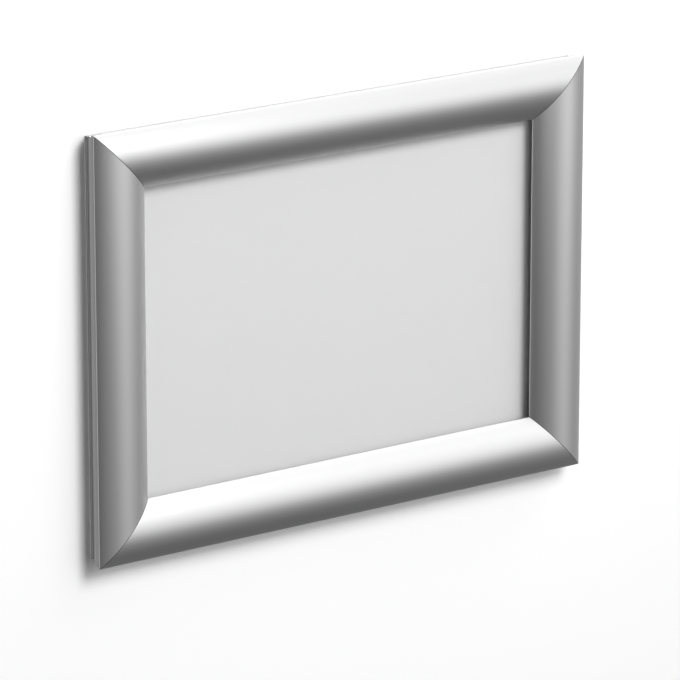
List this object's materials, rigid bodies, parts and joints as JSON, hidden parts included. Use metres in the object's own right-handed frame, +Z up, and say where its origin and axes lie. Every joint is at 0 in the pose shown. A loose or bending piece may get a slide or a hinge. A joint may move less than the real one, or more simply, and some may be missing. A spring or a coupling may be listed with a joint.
{
  "type": "wall snap frame",
  "caption": "Landscape aluminium snap frame for a wall, with mitred rails that hinge open on bow springs, a back panel and a clear cover sheet.",
  "frame": {"origin": "centre of the four wall holes, in the plane of the back", "axes": "+X to the right along the long side, +Y into the wall, +Z up"},
  "size_m": [0.24, 0.0124, 0.178],
  "materials": {
    "base_aluminium": "mill-finished aluminium extrusion, satin",
    "clip_aluminium": "silver anodised aluminium extrusion, satin, fine lines along the rail",
    "spring_steel": "blued spring steel strip",
    "zinc_steel": "zinc-plated pressed steel",
    "screw_steel": "black oxide grub screws",
    "panel_plastic": "light grey polystyrene sheet, matt",
    "clear_sheet": "clear anti-glare plastic sheet"
  },
  "bodies": {
    "back_frame": {"base_rail_bottom": "base_aluminium", "base_rail_right": "base_aluminium", "base_rail_top": "base_aluminium", "base_rail_left": "base_aluminium", "spring_bottom_a": "spring_steel", "spring_bottom_b": "spring_steel", "spring_right_a": "spring_steel", "spring_right_b": "spring_steel", "spring_top_a": "spring_steel", "spring_top_b": "spring_steel", "spring_left_a": "spring_steel", "spring_left_b": "spring_steel", "corner_key_bottom_left": "zinc_steel", "corner_key_bottom_right": "zinc_steel", "corner_key_top_right": "zinc_steel", "corner_key_top_left": "zinc_steel", "corner_screws": "screw_steel", "back_panel": "panel_plastic", "cover_sheet": "clear_sheet"},
    "bottom_clip": {"clip_rail_bottom": "clip_aluminium"},
    "right_clip": {"clip_rail_right": "clip_aluminium"},
    "top_clip": {"clip_rail_top": "clip_aluminium"},
    "left_clip": {"clip_rail_left": "clip_aluminium"}
  },
  "joints": [
    {"name": "bottom_clip_hinge", "type": "hinge", "parent": "back_frame", "child": "bottom_clip", "pos_m": [0, -0.0034, -0.0864], "axis": [1, 0, 0], "range_deg": [0, 95], "deforming": ["spring_bottom_a", "spring_bottom_b"]},
    {"name": "right_clip_hinge", "type": "hinge", "parent": "back_frame", "child": "right_clip", "pos_m": [0.1174, -0.0034, 0], "axis": [0, 0, 1], "range_deg": [0, 95], "deforming": ["spring_right_a", "spring_right_b"]},
    {"name": "top_clip_hinge", "type": "hinge", "parent": "back_frame", "child": "top_clip", "pos_m": [0, -0.0034, 0.0864], "axis": [-1, 0, 0], "range_deg": [0, 95], "deforming": ["spring_top_a", "spring_top_b"]},
    {"name": "left_clip_hinge", "type": "hinge", "parent": "back_frame", "child": "left_clip", "pos_m": [-0.1174, -0.0034, 0], "axis": [0, 0, -1], "range_deg": [0, 95], "deforming": ["spring_left_a", "spring_left_b"]}
  ]
}
